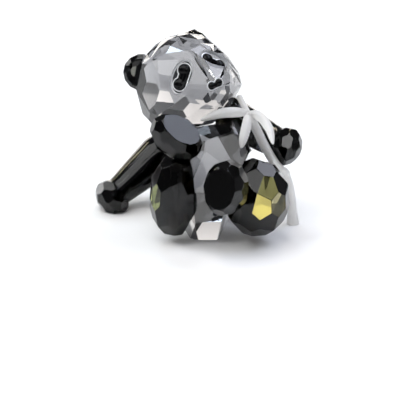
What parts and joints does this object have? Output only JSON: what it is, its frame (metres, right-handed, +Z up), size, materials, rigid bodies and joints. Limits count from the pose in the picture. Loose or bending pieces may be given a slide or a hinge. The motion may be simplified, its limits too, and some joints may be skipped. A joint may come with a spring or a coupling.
{
  "type": "panda figurine",
  "caption": "Cut-crystal panda that leans back on one arm with its feet up and holds a frosted bamboo branch to its mouth.",
  "frame": {"origin": "centre of the body's flat underside region, on the surface that the figurine stands on", "axes": "+X to the panda's left, -Y the way the feet point, +Z up"},
  "size_m": [0.0867, 0.0893, 0.075],
  "materials": {
    "clear_crystal": "polished flat facets, water-clear",
    "smoky_crystal": "polished facets, near-black with an olive tint where the light comes through",
    "frosted_crystal": "satin frosted",
    "black_glass": "high gloss, opaque black glass"
  },
  "bodies": {
    "root": {"body": "clear_crystal", "head": "clear_crystal", "right_ear": "smoky_crystal", "left_ear": "smoky_crystal", "right_thigh": "smoky_crystal", "left_thigh": "smoky_crystal", "right_foot": "smoky_crystal", "left_foot": "smoky_crystal", "right_arm": "smoky_crystal", "left_arm": "smoky_crystal", "bamboo_branch": "frosted_crystal", "right_eye": "black_glass", "left_eye": "black_glass", "nose": "black_glass"}
  },
  "joints": []
}
